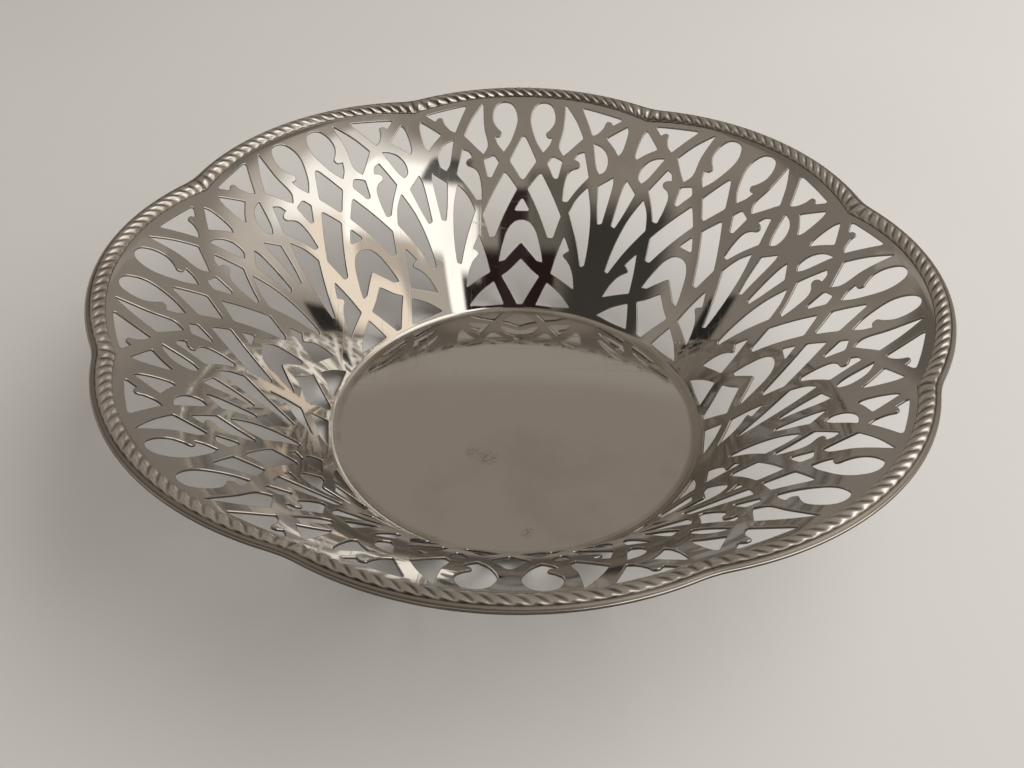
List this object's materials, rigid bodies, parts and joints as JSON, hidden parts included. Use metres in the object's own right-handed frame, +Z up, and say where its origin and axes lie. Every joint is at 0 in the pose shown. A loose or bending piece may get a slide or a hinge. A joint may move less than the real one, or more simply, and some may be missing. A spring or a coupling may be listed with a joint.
{
  "type": "pierced dish",
  "caption": "Round footless metal dish with a flat floor, a flared wall pierced with an interlaced lattice, and a lobed rim edged with a fluted rope border.",
  "frame": {"origin": "middle of the floor's flat underside, on the surface that the dish stands on", "axes": "+Z up along the dish's axis; +X runs through the middle of one panel of the wall, and the rim's notches lie 1.3 degrees clockwise of the lines between panels, seen from above"},
  "size_m": [0.241, 0.241, 0.06],
  "materials": {
    "sheet": "polished silver plate, slightly warm, with fine scratches and light tarnish",
    "border": "stamped silver plate, softly polished on the crests, darker in the flutes"
  },
  "bodies": {
    "root": {"dish_body": "sheet", "rope_border_1": "border", "rope_border_2": "border", "rope_border_3": "border", "rope_border_4": "border", "rope_border_5": "border", "rope_border_6": "border", "rope_border_7": "border", "rope_border_8": "border"}
  },
  "joints": []
}
